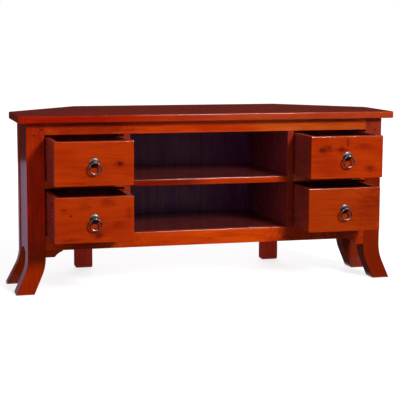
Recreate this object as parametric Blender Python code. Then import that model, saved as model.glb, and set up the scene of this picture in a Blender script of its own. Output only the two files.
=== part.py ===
"""A corner TV cabinet in solid wood: six legs, four drawers on wooden runners, two open centre bays.

Metres, +Z up. The front faces -Y, and +X is on the right of someone who faces it. Depths are counted
from the front edge of the top; the cabinet empty then puts the middle of the outline over the origin.
"""
import math

import bmesh
import bpy
from mathutils import Matrix

# Outline of the top
HEIGHT = 0.450
TOP_WIDTH = 0.988
TOP_DEPTH = 0.395
TOP_BACK_WIDTH = 0.582
TOP_THICKNESS = 0.018

# How far the top stands out over the body
FRONT_OVERHANG = 0.026
SIDE_OVERHANG = 0.023
BACK_OVERHANG = 0.010
CORNER_OVERHANG = 0.0035

# Legs
LEG_WIDTH = 0.045
FRONT_LEG_DEPTH = 0.047
SIDE_LEG_DEPTH = 0.050
SIDE_LEG_CHAMFER = 0.020
BACK_LEG_WIDTH = 0.048
BACK_LEG_DEPTH = 0.027
BACK_FOOT_ROUNDING = 0.0055
BACK_FOOT_STEPS = 4
FOOT_CURVE_RADIUS = 0.120
FOOT_SPLAY = math.radians(23)
FOOT_STEPS = 6
FRONT_FOOT_SPREAD = 0.0015
SIDE_FOOT_SPREAD = 0.0075

# Front frame
RAIL_THICKNESS = 0.020
RAIL_UNDERSIDE = 0.111
BOTTOM_RAIL_HEIGHT = 0.038
TOP_RAIL_HEIGHT = 0.031
DRAWER_RAIL_HEIGHT = 0.020
LOWER_OPENING_HEIGHT = 0.118
BRACKET_DROP = 0.017
BRACKET_FLAT = 0.022
BRACKET_COVE = 0.021
BRACKET_HOLLOW = 0.002
BRACKET_LIP = 0.0015
COVE_STEPS = 6
TENON_LENGTH = 0.018
TENON_THICKNESS = 0.010
TENON_SHOULDER = 0.004

# Pegs that pin the top rail in the front legs
PEG_RADIUS = 0.0026
PEG_WALL = 0.0015
PEG_INSETS = ((0.0075, 0.0175), (0.0260, 0.0315))

# Panels
CENTRE_WIDTH = 0.418
DIVIDER_THICKNESS = 0.017
SHELF_THICKNESS = 0.0165
HOUSING_DEPTH = 0.005
HOUSING_STOP = 0.014
FLOOR_THICKNESS = 0.015
SIDE_PANEL_THICKNESS = 0.012
SIDE_PANEL_RECESS = 0.002
SIDE_ARCH_TOP = 0.108
SIDE_ARCH_RISE = 0.024
SIDE_ARCH_END = 0.006
SIDE_ARCH_STEPS = 12
CORNER_PANEL_THICKNESS = 0.010
CORNER_PANEL_RECESS = 0.002
BACK_PANEL_THICKNESS = 0.012

# Strips inside
RUNNER_WIDTH = 0.019
CLEAT_WIDTH = 0.019
CLEAT_HEIGHT = 0.018

# Drawers
DRAWER_SIDE_PLAY = 0.0025
DRAWER_TOP_PLAY = 0.0055
DRAWER_STOP_GAP = 0.001
FRONT_THICKNESS = 0.018
DRAWER_SIDE_THICKNESS = 0.012
DRAWER_BACK_THICKNESS = 0.012
DRAWER_BOTTOM_THICKNESS = 0.005
GROOVE_DEPTH = 0.005
GROOVE_RISE = 0.008
UPPER_LEFT_INSIDE = 0.077
LOWER_LEFT_INSIDE = 0.077
UPPER_RIGHT_INSIDE = 0.087
LOWER_RIGHT_INSIDE = 0.099

# Ring pulls
PULL_RISE = 0.003
ROSETTE_RADIUS = 0.012
ROSETTE_RIM = 0.0014
ROSETTE_THICKNESS = 0.0035
NECK_RADIUS = 0.005
NECK_LENGTH = 0.002
BALL_RADIUS = 0.0075
BALL_STEPS = 7
DOME_STEPS = 3
RING_RADIUS = 0.0138
WIRE_RADIUS = 0.0022
RING_PLAY = 0.00035
STUD_RADIUS = 0.002
STUD_LENGTH = 0.012
TURNED_STEPS = 20
RING_STEPS = 28
WIRE_STEPS = 8
EYE_STEPS = 12

# Fits and edges
GAP = 0.0003
SMALL_EASE = 0.0010
LARGE_EASE = 0.0025
EASE_ANGLE = math.radians(40)
EASE_STEPS = 2

# Finishes: base colour, roughness, metallic
BODY_WOOD = ((0.34, 0.055, 0.012, 1.0), 0.28, 0.0)
FRONT_WOOD = ((0.40, 0.065, 0.010, 1.0), 0.26, 0.0)
INNER_WOOD = ((0.16, 0.035, 0.014, 1.0), 0.40, 0.0)
PULL_METAL = ((0.13, 0.11, 0.10, 1.0), 0.30, 1.0)

# Places worked out from the sizes
TOP_HALF = TOP_WIDTH / 2
UNDER_TOP = HEIGHT - TOP_THICKNESS
CARCASS_TOP = UNDER_TOP - GAP
FRONT = FRONT_OVERHANG
RAIL_BACK = FRONT + RAIL_THICKNESS
LEG_OUTER = TOP_HALF - SIDE_OVERHANG
LEG_INNER = LEG_OUTER - LEG_WIDTH
FRONT_LEG_BACK = FRONT + FRONT_LEG_DEPTH
FOOT_TOP = RAIL_UNDERSIDE - BRACKET_DROP

# Each 45 degree line holds the points whose |x| + y is this sum
TOP_CORNER_SUM = TOP_BACK_WIDTH / 2 + TOP_DEPTH
BODY_CORNER_SUM = TOP_CORNER_SUM - math.sqrt(2) * CORNER_OVERHANG
PANEL_OUTER_SUM = BODY_CORNER_SUM - math.sqrt(2) * CORNER_PANEL_RECESS
PANEL_INNER_SUM = PANEL_OUTER_SUM - math.sqrt(2) * CORNER_PANEL_THICKNESS

SIDE_LEG_BACK = BODY_CORNER_SUM - LEG_OUTER + SIDE_LEG_CHAMFER
SIDE_LEG_FRONT = SIDE_LEG_BACK - SIDE_LEG_DEPTH
BACK_LEG_BACK = TOP_DEPTH - BACK_OVERHANG
BACK_LEG_FRONT = BACK_LEG_BACK - BACK_LEG_DEPTH
BACK_LEG_OUTER = BODY_CORNER_SUM - BACK_LEG_BACK
BACK_LEG_INNER = BACK_LEG_OUTER - BACK_LEG_WIDTH
INNER_BACK = BACK_LEG_FRONT - GAP

FLOOR_TOP = RAIL_UNDERSIDE + BOTTOM_RAIL_HEIGHT
DRAWER_RAIL_BOTTOM = FLOOR_TOP + LOWER_OPENING_HEIGHT
DRAWER_RAIL_TOP = DRAWER_RAIL_BOTTOM + DRAWER_RAIL_HEIGHT
TOP_RAIL_BOTTOM = UNDER_TOP - TOP_RAIL_HEIGHT
SHELF_TOP = DRAWER_RAIL_BOTTOM + SHELF_THICKNESS
DIVIDER_INNER = CENTRE_WIDTH / 2
DIVIDER_OUTER = DIVIDER_INNER + DIVIDER_THICKNESS
SIDE_PANEL_OUTER = LEG_OUTER - SIDE_PANEL_RECESS
SIDE_PANEL_INNER = SIDE_PANEL_OUTER - SIDE_PANEL_THICKNESS

BAY_CENTRE = (LEG_INNER + DIVIDER_OUTER) / 2
DRAWER_WIDTH = LEG_INNER - DIVIDER_OUTER - 2 * DRAWER_SIDE_PLAY
DRAWER_OUTER = BAY_CENTRE + DRAWER_WIDTH / 2
DRAWER_DEPTH = PANEL_INNER_SUM - DRAWER_OUTER - FRONT - DRAWER_STOP_GAP
LOWER_DRAWER_HEIGHT = LOWER_OPENING_HEIGHT - GAP - DRAWER_TOP_PLAY
UPPER_DRAWER_HEIGHT = TOP_RAIL_BOTTOM - DRAWER_RAIL_TOP - GAP - DRAWER_TOP_PLAY

NECK_END = ROSETTE_THICKNESS + NECK_LENGTH
RING_AXIS_OFF = NECK_END + math.sqrt(BALL_RADIUS ** 2 - NECK_RADIUS ** 2)
PULL_REACH = GAP + RING_AXIS_OFF + BALL_RADIUS

SIDES = (("left", -1), ("right", 1))
DRAWERS = (
    ("upper_left", -1, DRAWER_RAIL_TOP, UPPER_DRAWER_HEIGHT, UPPER_LEFT_INSIDE),
    ("lower_left", -1, FLOOR_TOP, LOWER_DRAWER_HEIGHT, LOWER_LEFT_INSIDE),
    ("upper_right", 1, DRAWER_RAIL_TOP, UPPER_DRAWER_HEIGHT, UPPER_RIGHT_INSIDE),
    ("lower_right", 1, FLOOR_TOP, LOWER_DRAWER_HEIGHT, LOWER_RIGHT_INSIDE),
)
LEAST_INSIDE = min(inside for _, _, _, _, inside in DRAWERS)
OUTLINE_FRONT = FRONT + LEAST_INSIDE - DRAWER_DEPTH - PULL_REACH
OUTLINE_MIDDLE = (OUTLINE_FRONT + TOP_DEPTH) / 2


# Mesh helpers

def clear_scene():
    for existing in list(bpy.data.objects):
        bpy.data.objects.remove(existing, do_unlink=True)


def add_empty(name, location, parent=None):
    empty = bpy.data.objects.new(name, None)
    empty.empty_display_size = 0.02
    empty.location = location
    empty.parent = parent
    bpy.context.collection.objects.link(empty)
    return empty


def own_material(name, finish):
    """A Principled material of this piece's own."""
    colour, roughness, metallic = finish
    material = bpy.data.materials.new(name)
    material.use_nodes = True
    shader = material.node_tree.nodes["Principled BSDF"]
    shader.inputs["Base Color"].default_value = colour
    shader.inputs["Roughness"].default_value = roughness
    shader.inputs["Metallic"].default_value = metallic
    return material


def link_mesh(name, bm, parent, location=(0.0, 0.0, 0.0)):
    """Turn a bmesh into a smooth-shaded object with sharp corners."""
    bmesh.ops.recalc_face_normals(bm, faces=bm.faces)
    mesh = bpy.data.meshes.new(name)
    bm.to_mesh(mesh)
    bm.free()
    mesh.shade_smooth()
    mesh.set_sharp_from_angle(angle=EASE_ANGLE)
    linked = bpy.data.objects.new(name, mesh)
    linked.location = location
    linked.parent = parent
    bpy.context.collection.objects.link(linked)
    return linked


def add_piece(name, bm, finish, parent, location=(0.0, 0.0, 0.0)):
    piece = link_mesh(name, bm, parent, location)
    piece.data.materials.append(own_material(name, finish))
    return piece


def combine(piece, bm, operation):
    """Cut off or join on the shapes in a bmesh, which are drawn in the piece's own coordinates."""
    tool = link_mesh(piece.name + "_tool", bm, piece.parent, piece.location)
    tool.hide_render = True
    tool.display_type = "WIRE"
    boolean = piece.modifiers.new("combine", "BOOLEAN")
    boolean.operation = operation
    boolean.solver = "EXACT"
    boolean.object = tool


def ease(piece, width, axis=None):
    """Round off every sharp edge, or only those that run along one axis."""
    bevel = piece.modifiers.new("ease", "BEVEL")
    bevel.width = width
    bevel.segments = EASE_STEPS
    bevel.angle_limit = EASE_ANGLE
    if axis is None:
        return
    bevel.limit_method = "WEIGHT"
    weights = piece.data.attributes.new("bevel_weight_edge", "FLOAT", "EDGE")
    vertices = piece.data.vertices
    for edge in piece.data.edges:
        run = vertices[edge.vertices[1]].co - vertices[edge.vertices[0]].co
        weights.data[edge.index].value = float(abs(run.normalized()["XYZ".index(axis)]) > 0.999)


def add_prism(bm, outline, axis, start, stop):
    """Extrude a flat outline along an axis; its points give the other two coordinates in XYZ order."""
    slot = "XYZ".index(axis)
    corners = []
    for point in outline:
        place = list(point)
        place.insert(slot, start)
        corners.append(bm.verts.new(place))
    flat = bm.faces.new(corners)
    grown = bmesh.ops.extrude_face_region(bm, geom=[flat])["geom"]
    travel = [0.0, 0.0, 0.0]
    travel[slot] = stop - start
    tip = [item for item in grown if isinstance(item, bmesh.types.BMVert)]
    bmesh.ops.translate(bm, verts=tip, vec=travel)


def add_box(bm, x_span, y_span, z_span):
    x0, x1 = x_span
    y0, y1 = y_span
    add_prism(bm, ((x0, y0), (x1, y0), (x1, y1), (x0, y1)), "Z", *z_span)


def add_turned(bm, profile, axis, steps, centre=(0.0, 0.0, 0.0)):
    """Turn a profile of (distance along the axis, radius) points once round the axis."""
    turn = {"X": (1, 0, 0), "Y": (0, 1, 0)}[axis]
    corners = []
    for along, radius in profile:
        offset = (along, 0.0, radius) if axis == "X" else (0.0, along, radius)
        corners.append(bm.verts.new([c + o for c, o in zip(centre, offset)]))
    edges = [bm.edges.new(pair) for pair in zip(corners, corners[1:])]
    bmesh.ops.spin(bm, geom=corners + edges, cent=centre, axis=turn, angle=math.tau,
                   steps=steps, use_merge=True)
    bmesh.ops.remove_doubles(bm, verts=bm.verts, dist=1e-6)


def span(side, near, far):
    """The x range of something that lies between two distances from the middle, on one side."""
    return sorted((side * near, side * far))


def box_piece(name, x_span, y_span, z_span, finish, parent):
    bm = bmesh.new()
    add_box(bm, x_span, y_span, z_span)
    return add_piece(name, bm, finish, parent)


# Legs

def foot_curve():
    """How far the leg has swung outward at each height, from the straight part down to the floor."""
    curve = []
    for step in range(FOOT_STEPS + 1):
        angle = FOOT_SPLAY * step / FOOT_STEPS
        swing = FOOT_CURVE_RADIUS * (1 - math.cos(angle))
        height = FOOT_TOP - FOOT_CURVE_RADIUS * math.sin(angle)
        curve.append((swing, height))
    curve.append((swing + height * math.tan(FOOT_SPLAY), 0.0))
    return curve


def add_sabre_leg(bm, plan, spread, side):
    """Carry the leg's plan down its outward curve, in which the outer face swings wider by the spread."""
    curve = foot_curve()
    full_swing = curve[-1][0]
    rings = []
    for swing, height in [(0.0, CARCASS_TOP)] + curve:
        widening = spread * swing / full_swing / LEG_WIDTH
        rings.append([bm.verts.new((side * (x + swing + widening * (x - LEG_INNER)), y, height))
                      for x, y in plan])
    for upper, lower in zip(rings, rings[1:]):
        for i in range(len(plan)):
            bm.faces.new((upper[i - 1], upper[i], lower[i], lower[i - 1]))
    bm.faces.new(rings[0])
    bm.faces.new(rings[-1])


def tenon_span():
    middle = (FRONT + RAIL_BACK) / 2
    return middle - TENON_THICKNESS / 2, middle + TENON_THICKNESS / 2


def rail_heights():
    return (
        (RAIL_UNDERSIDE, FLOOR_TOP),
        (DRAWER_RAIL_BOTTOM, DRAWER_RAIL_TOP),
        (TOP_RAIL_BOTTOM, UNDER_TOP),
    )


def peg_places(side):
    """The face centres of a leg's pegs, from its inner edge and from under the top."""
    return [(side * (LEG_INNER + inset), UNDER_TOP - drop) for inset, drop in PEG_INSETS]


def peg_depth():
    return tenon_span()[0] - FRONT - PEG_WALL


def build_front_leg(label, side, cabinet):
    bm = bmesh.new()
    plan = (
        (LEG_INNER, FRONT),
        (LEG_OUTER, FRONT),
        (LEG_OUTER, FRONT_LEG_BACK),
        (LEG_INNER, FRONT_LEG_BACK),
    )
    add_sabre_leg(bm, plan, FRONT_FOOT_SPREAD, side)
    leg = add_piece("front_leg_" + label, bm, BODY_WOOD, cabinet)
    ease(leg, SMALL_EASE)
    cutter = bmesh.new()
    near, far = tenon_span()
    for bottom, top in rail_heights():
        mortise_x = span(side, LEG_INNER - SMALL_EASE, LEG_INNER + TENON_LENGTH + GAP)
        mortise_z = (bottom + TENON_SHOULDER - GAP, top - TENON_SHOULDER + GAP)
        add_box(cutter, mortise_x, (near - GAP, far + GAP), mortise_z)
    hole = PEG_RADIUS + GAP
    hole_end = peg_depth() + GAP
    for x, z in peg_places(side):
        profile = ((-SMALL_EASE, 0.0), (-SMALL_EASE, hole), (hole_end, hole), (hole_end, 0.0))
        add_turned(cutter, profile, "Y", TURNED_STEPS, (x, FRONT, z))
    combine(leg, cutter, "DIFFERENCE")


def build_side_leg(label, side, cabinet):
    bm = bmesh.new()
    plan = (
        (LEG_INNER, SIDE_LEG_FRONT),
        (LEG_OUTER, SIDE_LEG_FRONT),
        (LEG_OUTER, SIDE_LEG_BACK - SIDE_LEG_CHAMFER),
        (LEG_OUTER - SIDE_LEG_CHAMFER, SIDE_LEG_BACK),
        (LEG_INNER, SIDE_LEG_BACK),
    )
    add_sabre_leg(bm, plan, SIDE_FOOT_SPREAD, side)
    leg = add_piece("side_leg_" + label, bm, BODY_WOOD, cabinet)
    ease(leg, SMALL_EASE)


def build_back_leg(label, side, cabinet):
    leg_x = span(side, BACK_LEG_INNER, BACK_LEG_OUTER)
    leg = box_piece("back_leg_" + label, leg_x, (BACK_LEG_FRONT, BACK_LEG_BACK), (0.0, CARCASS_TOP),
                    BODY_WOOD, cabinet)
    ease(leg, BACK_FOOT_ROUNDING)
    foot = leg.modifiers["ease"]
    foot.segments = BACK_FOOT_STEPS
    foot.limit_method = "WEIGHT"
    weights = leg.data.attributes.new("bevel_weight_edge", "FLOAT", "EDGE")
    for edge in leg.data.edges:
        on_floor = all(leg.data.vertices[i].co.z < SMALL_EASE for i in edge.vertices)
        weights.data[edge.index].value = 1.0 if on_floor else SMALL_EASE / BACK_FOOT_ROUNDING


# Front frame

def tenoned_rail(name, inner_end, sides, bottom, top, cabinet):
    """A front rail, from leg to leg or from inner_end to one leg, tenoned into each leg it meets."""
    shoulder = LEG_INNER - GAP
    ends = (-shoulder, shoulder) if inner_end is None else span(sides[0], inner_end, shoulder)
    heights = (bottom, min(top, CARCASS_TOP))
    rail = box_piece(name, ends, (FRONT, RAIL_BACK), heights, BODY_WOOD, cabinet)
    ease(rail, SMALL_EASE, "X")
    bm = bmesh.new()
    for side in sides:
        tenon_x = span(side, shoulder - TENON_LENGTH, LEG_INNER + TENON_LENGTH)
        add_box(bm, tenon_x, tenon_span(), (bottom + TENON_SHOULDER, top - TENON_SHOULDER))
    combine(rail, bm, "UNION")


def build_front_frame(cabinet):
    bottom_span, drawer_span, top_span = rail_heights()
    tenoned_rail("bottom_rail", None, (-1, 1), *bottom_span, cabinet)
    tenoned_rail("top_rail", None, (-1, 1), *top_span, cabinet)
    for label, side in SIDES:
        tenoned_rail("drawer_rail_" + label, DIVIDER_OUTER + GAP, (side,), *drawer_span, cabinet)
        build_bracket(label, side, cabinet)
        build_front_leg(label, side, cabinet)
        build_pegs(label, side, cabinet)


def build_bracket(label, side, cabinet):
    """The block in the corner of leg and bottom rail, with a shallow cove up its free side."""
    top = RAIL_UNDERSIDE - GAP
    bottom = RAIL_UNDERSIDE - BRACKET_DROP
    leg_face = LEG_INNER - GAP
    flat_end = leg_face - BRACKET_FLAT
    rise = top - BRACKET_LIP - bottom
    chord = math.hypot(BRACKET_COVE, rise)
    outline = [(leg_face, top), (leg_face, bottom), (flat_end, bottom)]
    for step in range(1, COVE_STEPS + 1):
        share = step / COVE_STEPS
        dip = 4 * BRACKET_HOLLOW * share * (1 - share)
        outline.append((flat_end - BRACKET_COVE * share + dip * rise / chord,
                        bottom + rise * share + dip * BRACKET_COVE / chord))
    outline.append((flat_end - BRACKET_COVE, top))
    bm = bmesh.new()
    add_prism(bm, [(side * x, z) for x, z in outline], "Y", FRONT, RAIL_BACK)
    add_piece("rail_bracket_" + label, bm, BODY_WOOD, cabinet)


def build_pegs(label, side, cabinet):
    depth = peg_depth()
    profile = ((0.0, 0.0), (0.0, PEG_RADIUS), (depth, PEG_RADIUS), (depth, 0.0))
    for place, (x, z) in zip(("inner", "outer"), peg_places(side)):
        bm = bmesh.new()
        add_turned(bm, profile, "Y", TURNED_STEPS, (x, FRONT, z))
        add_piece("joint_peg_" + label + "_" + place, bm, BODY_WOOD, cabinet)


# Top, floor and panels

def build_top(cabinet):
    back_half = TOP_BACK_WIDTH / 2
    side_end = TOP_CORNER_SUM - TOP_HALF
    outline = (
        (-TOP_HALF, 0.0), (TOP_HALF, 0.0), (TOP_HALF, side_end),
        (back_half, TOP_DEPTH), (-back_half, TOP_DEPTH), (-TOP_HALF, side_end),
    )
    bm = bmesh.new()
    add_prism(bm, outline, "Z", UNDER_TOP, HEIGHT)
    top = add_piece("top_panel", bm, BODY_WOOD, cabinet)
    ease(top, LARGE_EASE)


def build_floor(cabinet):
    """The bottom panel, notched round the legs and cut off along the two corner panels."""
    inner = LEG_INNER - GAP
    outer = SIDE_PANEL_INNER - GAP
    corner_sum = PANEL_INNER_SUM - math.sqrt(2) * GAP
    right_half = [
        (inner, RAIL_BACK + GAP), (inner, FRONT_LEG_BACK + GAP),
        (outer, FRONT_LEG_BACK + GAP), (outer, SIDE_LEG_FRONT - GAP),
        (inner, SIDE_LEG_FRONT - GAP), (inner, corner_sum - inner),
        (corner_sum - INNER_BACK, INNER_BACK),
    ]
    outline = right_half + [(-x, y) for x, y in reversed(right_half)]
    bm = bmesh.new()
    add_prism(bm, outline, "Z", FLOOR_TOP - FLOOR_THICKNESS, FLOOR_TOP)
    add_piece("bottom_panel", bm, INNER_WOOD, cabinet)


def build_divider(label, side, cabinet):
    """An upright between drawers and open bays, notched under the top rail and housed for the shelf."""
    bottom = FLOOR_TOP + GAP
    notch_y = RAIL_BACK + GAP
    notch_z = TOP_RAIL_BOTTOM - GAP
    outline = (
        (FRONT, bottom), (INNER_BACK, bottom), (INNER_BACK, CARCASS_TOP),
        (notch_y, CARCASS_TOP), (notch_y, notch_z), (FRONT, notch_z),
    )
    bm = bmesh.new()
    add_prism(bm, outline, "X", *span(side, DIVIDER_INNER, DIVIDER_OUTER))
    divider = add_piece("divider_" + label, bm, BODY_WOOD, cabinet)
    ease(divider, SMALL_EASE, "Z")
    housing = bmesh.new()
    housing_x = span(side, DIVIDER_INNER - SMALL_EASE, DIVIDER_INNER + HOUSING_DEPTH)
    housing_y = (FRONT + HOUSING_STOP, INNER_BACK + SMALL_EASE)
    add_box(housing, housing_x, housing_y, (DRAWER_RAIL_BOTTOM - GAP, SHELF_TOP + GAP))
    combine(divider, housing, "DIFFERENCE")


def build_shelf(cabinet):
    """The shelf of the open bays, whose ends sit in the dividers' housings behind a short shoulder."""
    face = DIVIDER_INNER - GAP
    end = DIVIDER_INNER + HOUSING_DEPTH - GAP
    shoulder = FRONT + HOUSING_STOP + GAP
    right_half = [(face, FRONT), (face, shoulder), (end, shoulder), (end, INNER_BACK)]
    outline = right_half + [(-x, y) for x, y in reversed(right_half)]
    bm = bmesh.new()
    add_prism(bm, outline, "Z", DRAWER_RAIL_BOTTOM, SHELF_TOP)
    shelf = add_piece("centre_shelf", bm, BODY_WOOD, cabinet)
    ease(shelf, LARGE_EASE, "X")


def build_side_panel(label, side, cabinet):
    """The panel between front leg and side leg, whose lower edge is an arch between two short ends."""
    near = FRONT_LEG_BACK + GAP
    far = SIDE_LEG_FRONT - GAP
    low = SIDE_ARCH_TOP - SIDE_ARCH_RISE
    middle = (near + far) / 2
    arch_half = (far - near) / 2 - SIDE_ARCH_END
    outline = [(far, low), (far, CARCASS_TOP), (near, CARCASS_TOP), (near, low)]
    for step in range(SIDE_ARCH_STEPS + 1):
        angle = math.pi * step / SIDE_ARCH_STEPS
        outline.append((middle - arch_half * math.cos(angle), low + SIDE_ARCH_RISE * math.sin(angle)))
    bm = bmesh.new()
    add_prism(bm, outline, "X", *span(side, SIDE_PANEL_INNER, SIDE_PANEL_OUTER))
    add_piece("side_panel_" + label, bm, BODY_WOOD, cabinet)


def build_corner_panel(label, side, cabinet):
    """The 45 degree panel between a side leg's back and a back leg's outer face."""
    near = SIDE_LEG_BACK + GAP
    far = BACK_LEG_OUTER + GAP
    outline = (
        (PANEL_OUTER_SUM - near, near), (far, PANEL_OUTER_SUM - far),
        (far, PANEL_INNER_SUM - far), (PANEL_INNER_SUM - near, near),
    )
    bm = bmesh.new()
    add_prism(bm, [(side * x, y) for x, y in outline], "Z", RAIL_UNDERSIDE, CARCASS_TOP)
    add_piece("corner_panel_" + label, bm, BODY_WOOD, cabinet)


def build_back_panel(cabinet):
    half = BACK_LEG_INNER - GAP
    box_piece("back_panel", (-half, half), (BACK_LEG_FRONT, BACK_LEG_FRONT + BACK_PANEL_THICKNESS),
              (RAIL_UNDERSIDE, CARCASS_TOP), INNER_WOOD, cabinet)


# Strips inside

def build_runners(label, side, cabinet):
    """The two strips that carry an upper drawer: one on the legs, one on the divider."""
    outer = LEG_INNER - GAP
    inner = DIVIDER_OUTER + GAP
    runs = (RAIL_BACK + GAP, SIDE_LEG_BACK)
    heights = (DRAWER_RAIL_BOTTOM, DRAWER_RAIL_TOP)
    for place, near in (("outer", outer - RUNNER_WIDTH), ("inner", inner)):
        box_piece("runner_" + label + "_" + place, span(side, near, near + RUNNER_WIDTH), runs, heights,
                  INNER_WOOD, cabinet)


def build_cleats(cabinet):
    """The strips under the bottom panel, on the bottom rail and on the back panel."""
    top = FLOOR_TOP - FLOOR_THICKNESS - GAP
    heights = (top - CLEAT_HEIGHT, top)
    front_half = LEG_INNER - GAP
    front_y = RAIL_BACK + GAP
    box_piece("front_cleat", (-front_half, front_half), (front_y, front_y + CLEAT_WIDTH), heights,
              INNER_WOOD, cabinet)
    back_half = BACK_LEG_INNER - GAP
    box_piece("back_cleat", (-back_half, back_half), (INNER_BACK - CLEAT_WIDTH, INNER_BACK), heights,
              INNER_WOOD, cabinet)


# Drawers: in their own coordinates the front face is y = 0 and the running edge is z = 0

def build_drawer_box(name, height, drawer):
    half = DRAWER_WIDTH / 2
    rear = FRONT_THICKNESS + GAP
    inner = half - DRAWER_SIDE_THICKNESS
    groove = inner + GROOVE_DEPTH
    groove_top = GROOVE_RISE + DRAWER_BOTTOM_THICKNESS + 2 * GAP
    for label, side in SIDES:
        outline = (
            (half, 0.0), (half, height), (inner, height), (inner, groove_top),
            (groove, groove_top), (groove, GROOVE_RISE), (inner, GROOVE_RISE), (inner, 0.0),
        )
        bm = bmesh.new()
        add_prism(bm, [(side * x, z) for x, z in outline], "Y", rear, DRAWER_DEPTH)
        add_piece(name + "_drawer_" + label + "_side", bm, INNER_WOOD, drawer)
    bottom_half = groove - GAP
    bottom_z = (GROOVE_RISE + GAP, groove_top - GAP)
    box_piece(name + "_drawer_bottom", (-bottom_half, bottom_half), (rear, DRAWER_DEPTH), bottom_z,
              INNER_WOOD, drawer)
    back_half = inner - GAP
    back_y = (DRAWER_DEPTH - DRAWER_BACK_THICKNESS, DRAWER_DEPTH)
    box_piece(name + "_drawer_back", (-back_half, back_half), back_y, (groove_top, height),
              INNER_WOOD, drawer)


def build_drawer_front(name, height, pull_z, drawer):
    half = DRAWER_WIDTH / 2
    front = box_piece(name + "_drawer_front", (-half, half), (0.0, FRONT_THICKNESS), (0.0, height),
                      FRONT_WOOD, drawer)
    ease(front, LARGE_EASE)
    hole = STUD_RADIUS + GAP
    hole_end = STUD_LENGTH + GAP
    profile = ((-LARGE_EASE, 0.0), (-LARGE_EASE, hole), (hole_end, hole), (hole_end, 0.0))
    bm = bmesh.new()
    add_turned(bm, profile, "Y", TURNED_STEPS, (0.0, 0.0, pull_z))
    combine(front, bm, "DIFFERENCE")


def knob_profile():
    """Stud, rosette, neck and ball of a pull, as (distance behind the drawer's face, radius)."""
    dome_rise = ROSETTE_THICKNESS - ROSETTE_RIM
    profile = [(STUD_LENGTH, 0.0), (STUD_LENGTH, STUD_RADIUS)]
    profile += [(-GAP, STUD_RADIUS), (-GAP, ROSETTE_RADIUS)]
    for step in range(DOME_STEPS + 1):
        angle = math.pi / 2 * step / DOME_STEPS
        radius = NECK_RADIUS + (ROSETTE_RADIUS - NECK_RADIUS) * math.cos(angle)
        profile.append((-GAP - ROSETTE_RIM - dome_rise * math.sin(angle), radius))
    first = math.asin(NECK_RADIUS / BALL_RADIUS)
    for step in range(BALL_STEPS + 1):
        angle = first + (math.pi - first) * step / BALL_STEPS
        along = BALL_RADIUS * math.cos(angle) - RING_AXIS_OFF - GAP
        profile.append((along, BALL_RADIUS * math.sin(angle)))
    return profile


def eye_profile():
    """The flared hole that lets the curved ring swing in the ball, as (x, radius)."""
    profile = [(-BALL_RADIUS, 0.0)]
    for step in range(EYE_STEPS + 1):
        x = BALL_RADIUS * (2 * step / EYE_STEPS - 1)
        sag = RING_RADIUS - math.sqrt(RING_RADIUS ** 2 - x ** 2)
        profile.append((x, sag + WIRE_RADIUS + RING_PLAY))
    profile.append((BALL_RADIUS, 0.0))
    return profile


def build_pull(name, pull_z, drawer):
    centre = (0.0, 0.0, pull_z)
    bm = bmesh.new()
    add_turned(bm, knob_profile(), "Y", TURNED_STEPS)
    knob = add_piece(name + "_pull_knob", bm, PULL_METAL, drawer, centre)
    axis_y = -GAP - RING_AXIS_OFF
    bm = bmesh.new()
    add_turned(bm, eye_profile(), "X", TURNED_STEPS, (0.0, axis_y, 0.0))
    combine(knob, bm, "DIFFERENCE")

    bm = bmesh.new()
    wire = bmesh.ops.create_circle(bm, radius=WIRE_RADIUS, segments=WIRE_STEPS)["verts"]
    bmesh.ops.rotate(bm, verts=wire, matrix=Matrix.Rotation(math.pi / 2, 3, "Y"))
    bmesh.ops.spin(bm, geom=bm.verts[:] + bm.edges[:], cent=(0.0, 0.0, -RING_RADIUS), axis=(0, 1, 0),
                   angle=math.tau, steps=RING_STEPS, use_merge=True)
    add_piece(name + "_pull_ring", bm, PULL_METAL, drawer, (0.0, axis_y, pull_z))


def build_drawer(name, side, runs_on, height, inside, cabinet):
    """One drawer with its pull, standing open with the given length still inside the cabinet."""
    face = FRONT + inside - DRAWER_DEPTH
    drawer = add_empty(name + "_drawer", (side * BAY_CENTRE, face, runs_on + GAP), cabinet)
    pull_z = height / 2 + PULL_RISE
    build_drawer_front(name, height, pull_z, drawer)
    build_drawer_box(name, height, drawer)
    build_pull(name, pull_z, drawer)


def build_cabinet():
    clear_scene()
    cabinet = add_empty("cabinet", (0.0, -OUTLINE_MIDDLE, 0.0))
    build_top(cabinet)
    build_front_frame(cabinet)
    build_floor(cabinet)
    build_shelf(cabinet)
    build_back_panel(cabinet)
    for label, side in SIDES:
        build_side_leg(label, side, cabinet)
        build_back_leg(label, side, cabinet)
        build_divider(label, side, cabinet)
        build_side_panel(label, side, cabinet)
        build_corner_panel(label, side, cabinet)
        build_runners(label, side, cabinet)
    build_cleats(cabinet)
    for name, side, runs_on, height, inside in DRAWERS:
        build_drawer(name, side, runs_on, height, inside, cabinet)


build_cabinet()
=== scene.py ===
"""Looks of the corner TV cabinet: camera, studio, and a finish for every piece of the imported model."""
import math

import bpy
from mathutils import Matrix, Vector


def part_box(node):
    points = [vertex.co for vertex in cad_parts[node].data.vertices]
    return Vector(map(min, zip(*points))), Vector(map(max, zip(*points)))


# Camera, as fitted to the photograph's 400 x 400 frame
IMAGE_SIDE = 400
FOCAL_PIXELS = 1273.1
SENSOR_WIDTH = 36.0
CAMERA_YAW = math.radians(15.1085)
CAMERA_PITCH = math.radians(7.6495)
CAMERA_ROLL = math.radians(0.201)
CAMERA_PLACE = Vector((-0.8725, -3.23927, 0.6627))

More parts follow.
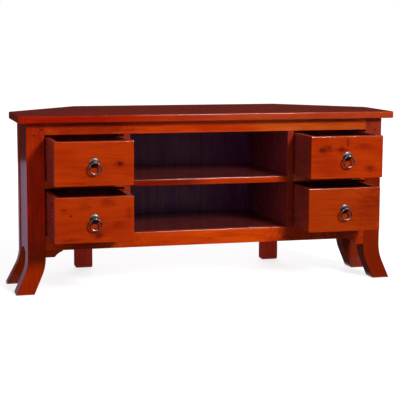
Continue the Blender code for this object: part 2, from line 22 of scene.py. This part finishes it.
# Studio
FLOOR_HALF = 40.0
FLOOR_ALBEDO = 0.48
FLOOR_LIGHTER = 1.05
FLOOR_GLOW_NEAR = 0.78
FLOOR_GLOW_FAR = 1.0
FLOOR_GLOW_REACH = (0.7, 2.2)
SKY_COLOUR = (0.82, 0.80, 1.0, 1.0)
SKY_STRENGTH = 0.19
WHITE = (1.0, 1.0, 1.0, 1.0)
LIGHT_TARGET = Vector((0.0, -0.05, 0.25))
# Each lamp: name, degrees to the right of the front, degrees up, distance, size, watts, colour,
# and whether gloss shows it
LAMPS = (
    ("key", 19.0, 26.0, 5.0, 0.90, 226.0, (1.0, 0.97, 0.93), True),
    ("fill", -48.0, 16.0, 2.6, 1.4, 7.0, (0.96, 0.97, 1.0), True),
    ("back", 165.0, 30.0, 4.0, 2.0, 60.0, (1.0, 0.98, 0.96), False),
)
# Cards around and under the cabinet that only reflections see, glowing though they are no lamps: name, half
# width, half height, middle, tilt from lying flat, colour. They paint reflections into the lacquer: the
# flags a dark studio, the shade card the floor in the cabinet's shade, and the lilac cards a lilac sheen on
# the side faces
CARDS = (
    ("back_flag", 6.0, 2.5, (0.0, 3.1, 2.5), math.radians(90), (0.016, 0.017, 0.020)),
    ("front_flag", 6.0, 3.3, (0.0, -3.8, 0.9), math.radians(-15), (0.004, 0.006, 0.014)),
    ("floor_flag", 2.0, 0.675, (0.0, -0.725, 0.003), 0.0, (0.008, 0.008, 0.010)),
    ("shade", 0.45, 1.60, (0.0, 1.50, 0.005), 0.0, (0.035, 0.030, 0.036)),
    ("lilac_sheen_left", 2.80, 1.60, (-3.20, 1.50, 0.004), 0.0, (0.28, 0.21, 0.31)),
    ("lilac_sheen_right", 2.80, 1.60, (3.20, 1.50, 0.004), 0.0, (0.28, 0.21, 0.31)),
)
# A low strip lamp under the cabinet, which faces its back legs
STRIP_PLACE = Vector((0.0, -0.03, 0.04))
STRIP_WIDTH = 0.36
STRIP_HEIGHT = 0.03
STRIP_WATTS = 0.45

# Edges of the imported pieces. A glued piece keeps a finer edge, so that its joint stays closed
MERGE_DISTANCE = 0.00001
SHARP_ANGLE = math.radians(33)
ROUND_WIDTH = 0.0008
GLUED_ROUND_WIDTH = 0.0002
ROUND_STEPS = 2
ROUND_ANGLE = math.radians(50)

# Stains: the colour of the middle grain
RAIL_STAIN = (0.480, 0.0380, 0.0006)
BRACKET_STAIN = (0.342, 0.0255, 0.0004)
POST_STAIN = (0.310, 0.0160, 0.0004)
TOP_STAIN = (0.375, 0.0260, 0.0030)
TOP_EDGE_STAIN = (0.299, 0.0085, 0.0003)
SHELF_EDGE_STAIN = (0.196, 0.0087, 0.0004)
# The dividers' front edges take a darker stain: painted shadow of the drawers beside them.
DIVIDER_EDGE_SHADOW_STAIN = (0.250, 0.0160, 0.0030)
BAY_STAIN = (0.270, 0.0270, 0.0320)
SIDE_STAIN = (0.270, 0.0300, 0.0200)
SHELF_STAIN = (0.170, 0.0260, 0.0200)
# The blue of the drawer backs' and bottoms' stain is a painted cool tint of the shade inside the drawers.
BOTTOM_STAIN = (0.230, 0.0260, 0.0300)
# The back panel's front face takes a purple stain, a painted cool tint of the shade in the bays; its rear
# face takes REAR_STAIN.
BACK_FACE_SHADE_STAIN = (0.215, 0.0500, 0.1650)
REAR_STAIN = (0.200, 0.0240, 0.0080)
# The back legs' stain is lightened as painted light for their shade under the cabinet, and its green and
# blue are a painted reflection.
FOOT_STAIN = (0.405, 0.0270, 0.0150)
PEG_STAIN = (0.110, 0.0100, 0.0060)
# Legs stained lighter or darker than the rest: painted light and shade. The left front leg's lighter stain
# is painted light in its middle, where the drawers' shadow falls; the left side leg is lighter as painted
# light in its shade, the right side leg darker as painted shade, and the right front leg darker
LEG_LIGHT_AND_SHADE_STAINS = {
    "front_leg_left": (0.470, 0.0170, 0.0004),
    "front_leg_right": (0.182, 0.0118, 0.0003),
    "side_leg_left": (0.460, 0.0420, 0.0006),
    "side_leg_right": (0.180, 0.0155, 0.0030),
}
# Boards whose stain turns to others: along which axis, from where to where, the other stain
DRIFTS = {
    # The top panel's front edge turns lighter, greener and bluer to the right: painted light from the right
    # and a painted sheen.
    "top_panel": (("x", -0.30, 0.12, (0.375, 0.0420, 0.0100)),),
    "centre_shelf": (("x", -0.07, 0.02, (0.380, 0.0253, 0.0006)),),
    # The top rail turns lighter, greener and bluer to the right: a painted sheen.
    "top_rail": (("x", 0.08, 0.16, (0.500, 0.0680, 0.0040)),),
    "bottom_rail": (("x", -0.12, -0.02, (0.555, 0.0530, 0.0006)),),
    # The left front leg's middle stain is painted light where the drawers' shadow falls; above it the leg
    # turns to its plain stain, and darker towards the foot.
    "front_leg_left": (("z", 0.335, 0.375, (0.345, 0.0180, 0.0004)),
                       ("z", 0.20, 0.09, (0.268, 0.0155, 0.0003))),
    # The right front leg turns lighter, greener and bluer towards its top: a painted sheen.
    "front_leg_right": (("z", 0.33, 0.41, (0.262, 0.0280, 0.0085)),),
}
# How deep a panel's front edge goes, with its rounding, and how softly its stain ends there
EDGE_DEPTH = 0.0015
EDGE_BLEND = 0.0015

# Lacquer: its roughness outside and in the drawers and bays, what the wood adds to that, its reflection
GLOSS = 0.12
SATIN = 0.24
FIBRE_ROUGHNESS = 0.06
PORE_ROUGHNESS = 0.05
LACQUER_SPECULAR = 0.4
SHELF_SPECULAR = 0.18
TOP_SPECULAR = 0.15
FOOT_SPECULAR = 0.2
FIBRE_HEIGHT = 0.5
PORE_HEIGHT = -0.7
BUMP_STRENGTH = 0.12
BUMP_DISTANCE = 0.0003

# Noises: scales per metre, in the wood along the grain and twice across it, then detail and roughness
WANDER = ((1.6, 5.0, 5.0), 1.0, 0.5)
FIBRE = ((7.0, 380.0, 380.0), 2.0, 0.5)
PORES = ((38.0, 1300.0, 1300.0), 1.0, 0.5)
BLOTCH = ((8.0, 26.0, 26.0), 4.0, 0.6)
FIGURE = ((13.0, 170.0, 170.0), 3.0, 0.6)
RUGGED = ((90.0, 190.0, 190.0), 3.0, 0.6)
WEAR = ((160.0, 160.0, 160.0), 3.0, 0.6)
FLOOR_PATCHES = ((3.0, 3.0, 3.0), 2.0, 0.5)
NOISE_MIDDLE = 0.5

# Grain: each piece's place in the timber, how it wanders, its growth rings and where their heart is
FIRST_SEED = 1.0
SEED_STEP = 0.37
SEED_SHIFT = (1.37, 0.61, 0.83)
GRAIN_ORDER = {"x": "XYZ", "y": "YZX", "z": "ZXY"}
SWAY = (0.0, 0.07, 0.07)
HEART = (0.31, -0.12)
RINGS_PER_METRE = 210.0
RING_DETAIL = 3.0
RING_ROUGHNESS = 0.6
PORE_STEP = (0.60, 0.72)
BLOTCH_STEP = (0.30, 0.70)
# What makes up the tone of the grain
TONE_BASE = 0.08
RING_SHARE = 0.20
FIGURE_SHARE = 0.30
FIBRE_SHARE = 0.20
BLOTCH_SHARE = 0.14
# How the grain runs from dark to light: place on the ramp, shares of the stain's red, green and blue
GRAIN_RAMP = (
    (0.16, (0.46, 0.26, 1.0)),
    (0.34, (0.70, 0.50, 1.0)),
    (0.50, (1.00, 1.00, 1.0)),
    (0.72, (1.22, 1.75, 1.0)),
)
PORE_TINT = (0.42, 0.34, 0.30, 1.0)
PORE_SHARE = 0.30

# Dark places: knots and clouds in the wood, and clouds of painted shade on the rails and a drawer front.
# Steps are in knot radii or in half widths of a cloud, from clear to dark
RED_TINT = (0.46, 0.24, 1.0, 1.0)
CLOUD_RAGGEDNESS = 2.2
CLOUD_STEP = (1.15, 0.1)
KNOT_SQUASH = 0.7
KNOT_REACH = 4.0
KNOT_PULL = 0.75
KNOT_RAGGEDNESS = 2.0
HALO_STEP = (3.2, 0.6)
HALO_SHARE = 0.5
SWIRL_RATE = 5.5
SWIRL_STEP = (0.0, 0.9)
RIM_STEP = (4.2, 1.2)
RIM_SHARE = 0.7
CORE_STEP = (1.5, 0.4)
CORE_COLOUR = (0.030, 0.004, 0.002, 1.0)

# Metal of the pulls, from dark to worn
METAL_RAMP = (
    (0.35, (0.066, 0.050, 0.050)),
    (0.55, (0.140, 0.108, 0.104)),
    (0.75, (0.260, 0.205, 0.192)),
)
METAL_STEP = (0.3, 0.7)
METAL_ROUGHNESS = (0.40, 0.26)


# Nodes

def add(tree, kind, inputs=None, **settings):
    """One shader node, with its settings, and its sockets given as values or as links."""
    node = tree.nodes.new(kind)
    for key, value in settings.items():
        setattr(node, key, value)
    for key, value in (inputs or {}).items():
        if isinstance(value, bpy.types.NodeSocket):
            tree.links.new(value, node.inputs[key])
        else:
            node.inputs[key].default_value = value
    return node


def calc(tree, operation, *values):
    return add(tree, "ShaderNodeMath", dict(enumerate(values)), operation=operation).outputs[0]


def vector(tree, operation, *values):
    node = add(tree, "ShaderNodeVectorMath", dict(enumerate(values)), operation=operation)
    return node.outputs["Value" if operation == "LENGTH" else "Vector"]


def ramp(tree, factor, stops):
    node = add(tree, "ShaderNodeValToRGB", {0: factor})
    elements = node.color_ramp.elements
    while len(elements) < len(stops):
        elements.new(1.0)
    for element, (place, colour) in zip(elements, stops):
        element.position = place
        element.color = (*colour, 1.0)
    return node.outputs["Color"]


def fade(tree, value, start, stop, low=0.0, high=1.0):
    """A smooth step of value from low at start to high at stop."""
    node = add(tree, "ShaderNodeMapRange", {0: value, 1: start, 2: stop, 3: low, 4: high},
               interpolation_type="SMOOTHSTEP")
    return node.outputs[0]


def mix(tree, factor, first, second, blend="MIX"):
    node = add(tree, "ShaderNodeMix", {0: factor, 6: first, 7: second},
               data_type="RGBA", blend_type=blend)
    return node.outputs[2]


def noise(tree, place, scale, detail, roughness):
    """Noise over a place stretched by three scales, per metre."""
    stretched = vector(tree, "MULTIPLY", place, scale)
    return add(tree, "ShaderNodeTexNoise", {"Vector": stretched, "Scale": 1.0, "Detail": detail,
                                            "Roughness": roughness}).outputs


def new_material(name):
    material = bpy.data.materials.new(name)
    material.use_nodes = True
    material.node_tree.nodes.clear()
    return material, material.node_tree


def output(tree, shader):
    add(tree, "ShaderNodeOutputMaterial", {"Surface": shader})


# Wood

def grain_colour(tree, tone, stain):
    """The stain from dark grain to light, by the grain's tone."""
    stops = [(place, [share * part for share, part in zip(shares, stain)]) for place, shares in GRAIN_RAMP]
    return ramp(tree, tone, stops)


def drifting_colour(tree, parts, tone, stain, drifts):
    """The grain in one stain, which turns to another along an axis for each drift."""
    colour = grain_colour(tree, tone, stain)
    for axis, start, stop, far_stain in drifts:
        turned = fade(tree, parts["xyz".index(axis)], start, stop)
        colour = mix(tree, turned, colour, grain_colour(tree, tone, far_stain))
    return colour


def bend_round_knots(tree, place, knots):
    """The place with the grain drawn round the knots, and each knot's nearness with its darkness."""
    cores = []
    for x, z, radius, darkness in knots:
        off = vector(tree, "SUBTRACT", place, (x, 0.0, z))
        radii = vector(tree, "MULTIPLY", off, (KNOT_SQUASH / radius, 0.0, 1.0 / radius))
        near = vector(tree, "LENGTH", radii)
        cores.append((near, darkness))
        pull = fade(tree, near, 0.0, KNOT_REACH, KNOT_PULL, 0.0)
        across = vector(tree, "MULTIPLY", off, (0.0, 0.0, 1.0))
        shift = add(tree, "ShaderNodeVectorMath", {0: across, "Scale": pull}, operation="SCALE")
        place = vector(tree, "SUBTRACT", place, shift.outputs["Vector"])
    return place, cores


def grain_place(tree, parts, along, seed):
    """The place with the grain's own axis first, moved to the piece's own timber."""
    ordered = [parts["XYZ".index(axis)] for axis in GRAIN_ORDER[along]]
    turned = add(tree, "ShaderNodeCombineXYZ", dict(enumerate(ordered))).outputs[0]
    return vector(tree, "ADD", turned, tuple(seed * shift for shift in SEED_SHIFT))


def grain(tree, place, seed):
    """The tone of the grain, its fibre and its pores."""
    wander = noise(tree, place, *WANDER)["Color"]
    swing = vector(tree, "SUBTRACT", wander, (NOISE_MIDDLE, NOISE_MIDDLE, NOISE_MIDDLE))
    waved = vector(tree, "ADD", place, vector(tree, "MULTIPLY", swing, SWAY))
    heart = (0.0, seed * SEED_SHIFT[1] + HEART[0], seed * SEED_SHIFT[2] + HEART[1])
    across = vector(tree, "SUBTRACT", vector(tree, "MULTIPLY", waved, (0.0, 1.0, 1.0)), heart)
    depth = calc(tree, "MULTIPLY", vector(tree, "LENGTH", across), RINGS_PER_METRE)
    rings = add(tree, "ShaderNodeTexNoise", {
        "W": depth, "Scale": 1.0, "Detail": RING_DETAIL, "Roughness": RING_ROUGHNESS},
        noise_dimensions="1D").outputs[0]
    figure = noise(tree, waved, *FIGURE)[0]
    fibre = noise(tree, waved, *FIBRE)[0]
    pores = fade(tree, noise(tree, waved, *PORES)[0], *PORE_STEP)
    blotch = fade(tree, noise(tree, place, *BLOTCH)[0], *BLOTCH_STEP)
    tone = calc(tree, "MULTIPLY_ADD", rings, RING_SHARE, TONE_BASE)
    tone = calc(tree, "MULTIPLY_ADD", figure, FIGURE_SHARE, tone)
    tone = calc(tree, "MULTIPLY_ADD", fibre, FIBRE_SHARE, tone)
    tone = calc(tree, "MULTIPLY_ADD", blotch, BLOTCH_SHARE, tone)
    return tone, fibre, pores


def add_clouds(tree, colour, red, rugged, place, clouds):
    """The colour with a ragged, darker red cloud at each place."""
    for x, z, half_x, half_z, lean, darkness in clouds:
        off = vector(tree, "SUBTRACT", place, (x, 0.0, z))
        turn = add(tree, "ShaderNodeVectorRotate", {"Vector": off, "Angle": lean}, rotation_type="Y_AXIS")
        halves = vector(tree, "MULTIPLY", turn.outputs[0], (1.0 / half_x, 0.0, 1.0 / half_z))
        near = calc(tree, "MULTIPLY_ADD", rugged, CLOUD_RAGGEDNESS, vector(tree, "LENGTH", halves))
        colour = mix(tree, fade(tree, near, *CLOUD_STEP, 0.0, darkness), colour, red)
    return colour


def add_knots(tree, colour, red, rugged, cores):
    """The colour with each knot's halo, the broken rings round it and its dark core."""
    for near, darkness in cores:
        ragged = calc(tree, "MULTIPLY_ADD", rugged, KNOT_RAGGEDNESS, near)
        halo = fade(tree, ragged, *HALO_STEP, 0.0, HALO_SHARE * darkness)
        colour = mix(tree, halo, colour, red)
        wave = calc(tree, "SINE", calc(tree, "MULTIPLY", ragged, SWIRL_RATE))
        reach = fade(tree, near, *RIM_STEP, 0.0, RIM_SHARE * darkness)
        rim = calc(tree, "MULTIPLY", fade(tree, wave, *SWIRL_STEP), reach)
        colour = mix(tree, rim, colour, red)
        core = fade(tree, ragged, *CORE_STEP, 0.0, darkness)
        colour = mix(tree, core, colour, CORE_COLOUR)
    return colour


def wood(name, along, stain, seed, knots=(), clouds=(), face=None, specular=LACQUER_SPECULAR,
         roughness=GLOSS):
    """Stained wood under lacquer, with its grain along one axis of the row frame.

    knots and clouds are dark places in x and z. face gives a second stain for the front edge, and how far
    back it reaches, in y. A board that has a front edge drifts there only."""
    material, tree = new_material(name)
    place = add(tree, "ShaderNodeTexCoord").outputs["Object"]
    place, cores = bend_round_knots(tree, place, knots)
    parts = add(tree, "ShaderNodeSeparateXYZ", {0: place}).outputs
    timber = grain_place(tree, parts, along, seed)
    tone, fibre, pores = grain(tree, timber, seed)

    drifts = DRIFTS.get(name, ())
    if face:
        edge_stain, reach = face
        back = fade(tree, parts[1], reach, reach + EDGE_BLEND)
        edge = drifting_colour(tree, parts, tone, edge_stain, drifts)
        colour = mix(tree, back, edge, grain_colour(tree, tone, stain))
    else:
        colour = drifting_colour(tree, parts, tone, stain, drifts)
    darker = mix(tree, 1.0, colour, PORE_TINT, "MULTIPLY")
    colour = mix(tree, calc(tree, "MULTIPLY", pores, PORE_SHARE), colour, darker)
    red = mix(tree, 1.0, colour, RED_TINT, "MULTIPLY")
    rugged = calc(tree, "SUBTRACT", noise(tree, timber, *RUGGED)[0], NOISE_MIDDLE)
    colour = add_clouds(tree, colour, red, rugged, place, clouds)
    colour = add_knots(tree, colour, red, rugged, cores)

    rough = calc(tree, "MULTIPLY_ADD", fibre, FIBRE_ROUGHNESS, roughness - FIBRE_ROUGHNESS / 2)
    rough = calc(tree, "MULTIPLY_ADD", pores, PORE_ROUGHNESS, rough)
    relief = calc(tree, "MULTIPLY_ADD", pores, PORE_HEIGHT, calc(tree, "MULTIPLY", fibre, FIBRE_HEIGHT))
    bump = add(tree, "ShaderNodeBump", {
        "Strength": BUMP_STRENGTH, "Distance": BUMP_DISTANCE, "Height": relief})
    shader = add(tree, "ShaderNodeBsdfPrincipled", {
        "Base Color": colour, "Roughness": rough, "Normal": bump.outputs[0],
        "Specular IOR Level": specular})
    output(tree, shader.outputs[0])
    return material


def metal(name):
    """Dark antique metal, worn brighter in cloudy patches."""
    material, tree = new_material(name)
    place = add(tree, "ShaderNodeTexCoord").outputs["Object"]
    wear = noise(tree, place, *WEAR)[0]
    colour = ramp(tree, wear, METAL_RAMP)
    rough = fade(tree, wear, *METAL_STEP, *METAL_ROUGHNESS)
    shader = add(tree, "ShaderNodeBsdfPrincipled", {
        "Base Color": colour, "Roughness": rough, "Metallic": 1.0})
    output(tree, shader.outputs[0])
    return material


# Which finish each piece takes

# The stain of each drawer front
DRAWER_STAINS = {
    "upper_left": (0.375, 0.0265, 0.0004),
    "lower_left": (0.365, 0.0265, 0.0004),
    "upper_right": (0.365, 0.0260, 0.0004),
    "lower_right": (0.325, 0.0270, 0.0008),
}
# Each knot: share of the width from the left, share of the height from the top, radius, darkness
DRAWER_KNOTS = {
    "upper_left": ((0.82, 0.51, 0.0036, 0.80),),
    "lower_left": ((0.12, 0.28, 0.0034, 0.35), (0.205, 0.40, 0.0015, 0.75),
                   (0.43, 0.22, 0.0020, 0.45), (0.545, 0.84, 0.0040, 0.35)),
    "upper_right": ((0.155, 0.32, 0.0050, 0.60), (0.25, 0.27, 0.0040, 0.45),
                    (0.42, 0.32, 0.0042, 0.50), (0.82, 0.76, 0.0040, 0.50)),
    "lower_right": (),
}
# Each cloud of darker red: the same two shares, half its width and half its height as shares, lean in
# degrees, darkness
DRAWER_CLOUDS = {
    # On the upper left front, the cloud at 0.38 across and 0.66 down is painted shadow of the ring pull.
    "upper_left": ((0.80, 0.50, 0.10, 0.14, 0, 0.25), (0.50, 0.93, 0.55, 0.07, 0, 0.30),
                   (0.38, 0.66, 0.07, 0.12, 0, 0.15)),
    "lower_left": ((0.67, 0.12, 0.14, 0.12, 0, 0.60), (0.37, 0.20, 0.10, 0.13, 0, 0.35),
                   (0.79, 0.60, 0.13, 0.08, 10, 0.55), (0.54, 0.84, 0.09, 0.12, 0, 0.60),
                   (0.20, 0.92, 0.18, 0.08, 0, 0.45), (0.93, 0.38, 0.05, 0.22, 0, 0.45)),
    "upper_right": ((0.20, 0.30, 0.14, 0.12, 0, 0.60), (0.505, 0.14, 0.03, 0.20, 0, 0.85),
                    (0.42, 0.32, 0.08, 0.10, 0, 0.50), (0.72, 0.24, 0.14, 0.10, 0, 0.50),
                    (0.82, 0.78, 0.12, 0.11, 0, 0.50)),
    "lower_right": ((0.82, 0.22, 0.26, 0.08, -20, 0.30), (0.92, 0.50, 0.36, 0.60, 0, 0.45)),
}
# The darker stretches of each long rail, painted shade: on the bottom rail the drawers' shadow, on the top
# rail its shade towards the left. Share of the length from the left, half their length, darkness
RAIL_SHADE_STRETCHES = {
    "top_rail": ((0.13, 0.150, 0.50), (0.215, 0.055, 0.40)),
    "bottom_rail": ((0.12, 0.085, 0.80), (0.25, 0.060, 0.45),
                    (0.770, 0.100, 0.90), (0.91, 0.110, 0.90)),
}
STRETCH_HALF_HEIGHT = 0.09


def drawer_front(node, name, seed):
    """A drawer front, with its knots and clouds set by shares of its width and height."""
    low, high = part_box(node)
    width, height = high.x - low.x, high.z - low.z
    knots = [(low.x + across * width, high.z - down * height, radius, darkness)
             for across, down, radius, darkness in DRAWER_KNOTS[name]]
    clouds = [(low.x + across * width, high.z - down * height, half_x * width, half_z * height,
               math.radians(lean), darkness)
              for across, down, half_x, half_z, lean, darkness in DRAWER_CLOUDS[name]]
    return wood(node, "x", DRAWER_STAINS[name], seed, knots, clouds)


def long_rail(node, seed):
    """A rail across the whole front, with darker stretches of painted shade on its board."""
    low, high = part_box(node)
    length, middle = high.x - low.x, (low.z + high.z) / 2
    stretches = [(low.x + share * length, middle, half_length, STRETCH_HALF_HEIGHT, 0.0, darkness)
                 for share, half_length, darkness in RAIL_SHADE_STRETCHES[node]]
    return wood(node, "x", RAIL_STAIN, seed, clouds=stretches)


def front_edge(node, stain):
    """The stain of a panel's front edge, and how far back it reaches."""
    return stain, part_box(node)[0].y + EDGE_DEPTH


def finish_for(node, seed):
    """The material of one piece, by its name."""
    if "_pull_" in node:
        return metal(node)
    if node.endswith("_drawer_front"):
        return drawer_front(node, node.removesuffix("_drawer_front"), seed)
    if node.endswith("_side") or node.startswith("runner"):
        return wood(node, "y", SIDE_STAIN, seed, roughness=SATIN)
    if node.endswith(("_drawer_back", "_drawer_bottom")):
        return wood(node, "x", BOTTOM_STAIN, seed, roughness=SATIN)
    if node.endswith(("cleat", "bottom_panel")):
        return wood(node, "x", SHELF_STAIN, seed)
    if node == "centre_shelf":
        edge = front_edge(node, SHELF_EDGE_STAIN)
        return wood(node, "x", SHELF_STAIN, seed, face=edge, specular=SHELF_SPECULAR)
    if node.startswith("divider"):
        edge = front_edge(node, DIVIDER_EDGE_SHADOW_STAIN)
        return wood(node, "z", BAY_STAIN, seed, face=edge, roughness=SATIN)
    if node == "back_panel":
        front = front_edge(node, BACK_FACE_SHADE_STAIN)
        return wood(node, "z", REAR_STAIN, seed, face=front, roughness=SATIN)
    if node == "top_panel":
        edge = front_edge(node, TOP_EDGE_STAIN)
        return wood(node, "x", TOP_STAIN, seed, face=edge, specular=TOP_SPECULAR)
    if node.startswith("back_leg"):
        return wood(node, "z", FOOT_STAIN, seed, specular=FOOT_SPECULAR)
    if node in RAIL_SHADE_STRETCHES:
        return long_rail(node, seed)
    if node.startswith("rail_bracket"):
        return wood(node, "x", BRACKET_STAIN, seed)
    if "rail" in node:
        return wood(node, "x", RAIL_STAIN, seed)
    if "peg" in node:
        return wood(node, "y", PEG_STAIN, seed)
    return wood(node, "z", LEG_LIGHT_AND_SHADE_STAINS.get(node, POST_STAIN), seed)


# Edges

def soften_group():
    """Joins the loose triangles of an imported piece and shades its curved parts smooth."""
    group = bpy.data.node_groups.new("soften", "GeometryNodeTree")
    for direction in ("INPUT", "OUTPUT"):
        group.interface.new_socket("Geometry", in_out=direction, socket_type="NodeSocketGeometry")
    start = add(group, "NodeGroupInput").outputs[0]
    merged = add(group, "GeometryNodeMergeByDistance", {"Geometry": start, "Distance": MERGE_DISTANCE})
    plain = add(group, "GeometryNodeRemoveAttribute", {
        "Geometry": merged.outputs[0], "Name": "custom_normal"})
    smooth = add(group, "GeometryNodeSetShadeSmooth", {
        "Geometry": plain.outputs[0], "Shade Smooth": True})
    angle = add(group, "GeometryNodeInputMeshEdgeAngle").outputs[0]
    sharp = add(group, "FunctionNodeCompare", {0: angle, 1: SHARP_ANGLE}, operation="GREATER_THAN")
    creased = add(group, "GeometryNodeSetShadeSmooth", {
        "Geometry": smooth.outputs[0], "Selection": sharp.outputs[0], "Shade Smooth": False}, domain="EDGE")
    add(group, "NodeGroupOutput", {0: creased.outputs[0]})
    return group


def soften(piece, group, width):
    """Rounds a piece's sharp edges a little and evens its shading."""
    joined = piece.modifiers.new("soften", "NODES")
    joined.node_group = group
    edges = piece.modifiers.new("round", "BEVEL")
    edges.width = width
    edges.segments = ROUND_STEPS
    edges.limit_method = "ANGLE"
    edges.angle_limit = ROUND_ANGLE
    closed = piece.modifiers.new("closed", "WELD")
    closed.merge_threshold = MERGE_DISTANCE
    weighted = piece.modifiers.new("weighted", "WEIGHTED_NORMAL")
    weighted.keep_sharp = True


# Studio

def seen_rays(tree):
    """One for the rays that show the background: from the camera, in gloss, and through glass."""
    rays = add(tree, "ShaderNodeLightPath").outputs
    seen = calc(tree, "MAXIMUM", rays["Is Camera Ray"], rays["Is Glossy Ray"])
    return calc(tree, "MAXIMUM", seen, rays["Is Transmission Ray"])


def stage_plane(name, half_x, half_y, matrix):
    mesh = bpy.data.meshes.new(name)
    corners = [(-half_x, -half_y, 0), (half_x, -half_y, 0), (half_x, half_y, 0), (-half_x, half_y, 0)]
    mesh.from_pydata(corners, [], [(0, 1, 2, 3)])
    plane = bpy.data.objects.new(name, mesh)
    plane.matrix_world = matrix
    bpy.context.scene.collection.objects.link(plane)
    return plane


def build_floor():
    """A plain pale floor that takes the shadow and shows white farther off."""
    floor = stage_plane("floor", FLOOR_HALF, FLOOR_HALF, Matrix.Identity(4))
    material, tree = new_material("floor")
    place = add(tree, "ShaderNodeTexCoord").outputs["Object"]
    patches = noise(tree, place, *FLOOR_PATCHES)[0]
    tint = ramp(tree, patches, ((0.0, (FLOOR_ALBEDO,) * 3), (1.0, (FLOOR_ALBEDO * FLOOR_LIGHTER,) * 3)))
    matt = add(tree, "ShaderNodeBsdfDiffuse", {"Color": tint})
    away = vector(tree, "LENGTH", place)
    white = fade(tree, away, *FLOOR_GLOW_REACH, FLOOR_GLOW_NEAR, FLOOR_GLOW_FAR)
    glow = add(tree, "ShaderNodeEmission", {
        "Color": WHITE, "Strength": calc(tree, "MULTIPLY", seen_rays(tree), white)})
    both = add(tree, "ShaderNodeAddShader", {0: matt.outputs[0], 1: glow.outputs[0]})
    output(tree, both.outputs[0])
    floor.data.materials.append(material)


def build_cards():
    """Dark and lilac cards for the lacquer to reflect, as in a photographer's studio; glowing, they paint
    dark reflections and a lilac sheen.
    """
    for name, half_x, half_y, middle, tilt, colour in CARDS:
        card = stage_plane(name, half_x, half_y, Matrix.Translation(middle) @ Matrix.Rotation(tilt, 4, "X"))
        card.visible_camera = False
        card.visible_diffuse = False
        card.visible_transmission = False
        card.visible_shadow = False
        material, tree = new_material(name)
        glow = add(tree, "ShaderNodeEmission", {"Color": (*colour, 1.0), "Strength": 1.0})
        output(tree, glow.outputs[0])
        card.data.materials.append(material)


def build_world():
    """White where it is seen, and a weak cool light on the cabinet."""
    world = bpy.data.worlds.new("studio")
    bpy.context.scene.world = world
    world.use_nodes = True
    tree = world.node_tree
    tree.nodes.clear()
    sky = add(tree, "ShaderNodeBackground", {"Color": SKY_COLOUR, "Strength": SKY_STRENGTH})
    white = add(tree, "ShaderNodeBackground", {"Color": WHITE, "Strength": 1.0})
    shown = add(tree, "ShaderNodeMixShader", {0: seen_rays(tree), 1: sky.outputs[0], 2: white.outputs[0]})
    add(tree, "ShaderNodeOutputWorld", {"Surface": shown.outputs[0]})


def build_lamps():
    for name, right, up, distance, size, watts, colour, in_gloss in LAMPS:
        side, rise = math.radians(right), math.radians(up)
        way = Vector((math.sin(side) * math.cos(rise), -math.cos(side) * math.cos(rise), math.sin(rise)))
        light = bpy.data.lights.new(name, "AREA")
        light.shape = "SQUARE"
        light.size = size
        light.energy = watts
        light.color = colour
        lamp = bpy.data.objects.new(name, light)
        lamp.location = LIGHT_TARGET + way * distance
        lamp.rotation_euler = way.to_track_quat("Z", "Y").to_euler()
        lamp.visible_glossy = in_gloss
        bpy.context.scene.collection.objects.link(lamp)


def build_strip():
    light = bpy.data.lights.new("strip", "AREA")
    light.shape = "RECTANGLE"
    light.size = STRIP_WIDTH
    light.size_y = STRIP_HEIGHT
    light.energy = STRIP_WATTS
    lamp = bpy.data.objects.new("strip", light)
    lamp.location = STRIP_PLACE
    lamp.rotation_euler = (math.radians(90), 0.0, 0.0)
    lamp.visible_camera = False
    lamp.visible_glossy = False
    bpy.context.scene.collection.objects.link(lamp)


def build_camera():
    forward = Vector((math.sin(CAMERA_YAW) * math.cos(CAMERA_PITCH),
                      math.cos(CAMERA_YAW) * math.cos(CAMERA_PITCH), -math.sin(CAMERA_PITCH)))
    level = Vector((math.cos(CAMERA_YAW), -math.sin(CAMERA_YAW), 0.0))
    upright = level.cross(forward)
    right = level * math.cos(CAMERA_ROLL) + upright * math.sin(CAMERA_ROLL)
    up = upright * math.cos(CAMERA_ROLL) - level * math.sin(CAMERA_ROLL)
    lens = bpy.data.cameras.new("camera")
    lens.sensor_width = SENSOR_WIDTH
    lens.lens = FOCAL_PIXELS / IMAGE_SIDE * SENSOR_WIDTH
    camera = bpy.data.objects.new("camera", lens)
    turn = Matrix((right, up, -forward)).transposed().to_4x4()
    camera.matrix_world = Matrix.Translation(CAMERA_PLACE) @ turn
    bpy.context.scene.collection.objects.link(camera)
    bpy.context.scene.camera = camera


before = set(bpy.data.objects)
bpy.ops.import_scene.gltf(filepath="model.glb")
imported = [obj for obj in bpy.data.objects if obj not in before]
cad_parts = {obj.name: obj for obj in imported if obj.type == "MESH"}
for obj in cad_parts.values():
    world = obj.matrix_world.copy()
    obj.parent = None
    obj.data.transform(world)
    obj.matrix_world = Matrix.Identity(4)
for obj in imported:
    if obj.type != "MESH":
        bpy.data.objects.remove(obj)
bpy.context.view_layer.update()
bpy.context.scene.view_settings.view_transform = "Standard"

build_camera()
build_world()
build_floor()
build_cards()
build_lamps()
build_strip()

edges_group = soften_group()
for number, node_name in enumerate(sorted(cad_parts)):
    node_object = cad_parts[node_name]
    finish = finish_for(node_name, FIRST_SEED + SEED_STEP * number)
    for material_slot in node_object.material_slots:
        material_slot.material = finish
    glued = node_name.startswith("rail_bracket")
    soften(node_object, edges_group, GLUED_ROUND_WIDTH if glued else ROUND_WIDTH)
